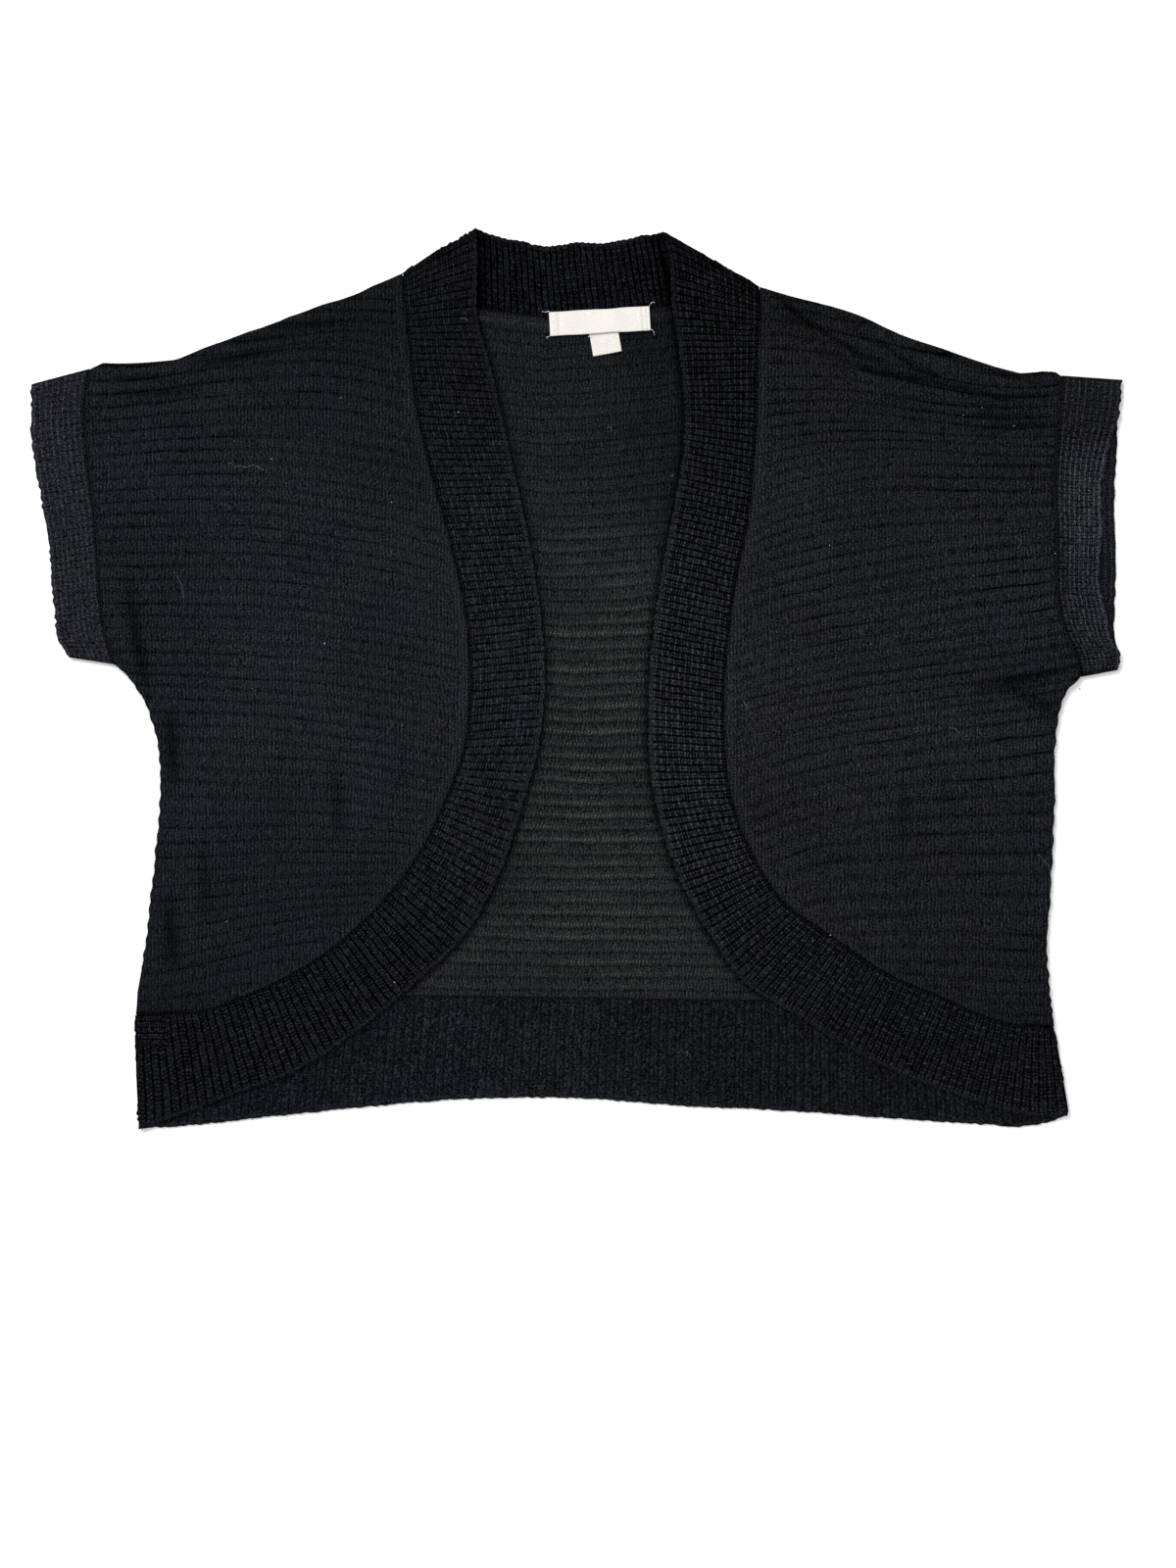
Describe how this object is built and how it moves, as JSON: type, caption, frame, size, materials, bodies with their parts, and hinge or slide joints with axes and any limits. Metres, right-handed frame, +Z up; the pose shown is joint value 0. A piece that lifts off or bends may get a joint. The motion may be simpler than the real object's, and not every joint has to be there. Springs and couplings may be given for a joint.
{
  "type": "knitted shrug",
  "caption": "Cropped open-front knitted shrug with short sleeves, laid flat: curved fronts lie on the back, with waffle rib bands at the fronts, neck, hem and cuffs.",
  "frame": {"origin": "middle of the garment's outline on the surface that it lies on", "axes": "+X to the right across the sleeves, +Y towards the neck, +Z up from the surface, on the side of the fronts"},
  "size_m": [0.6403, 0.529, 0.0077],
  "materials": {
    "ripple_knit": "matte bluish black ripple knit",
    "waffle_rib": "matte black waffle rib",
    "woven_tape": "white woven tape with a slight sheen",
    "loose_fibre": "pale lint and hairs",
    "sewing_thread": "black and white sewing thread"
  },
  "bodies": {
    "root": {"back_panel": "ripple_knit", "front_panel_left": "ripple_knit", "front_panel_right": "ripple_knit", "front_band_left": "waffle_rib", "front_band_right": "waffle_rib", "neck_band": "waffle_rib", "hem_band": "waffle_rib", "cuff_left": "waffle_rib", "cuff_right": "waffle_rib", "neck_label": "woven_tape", "size_label": "woven_tape"}
  },
  "joints": []
}
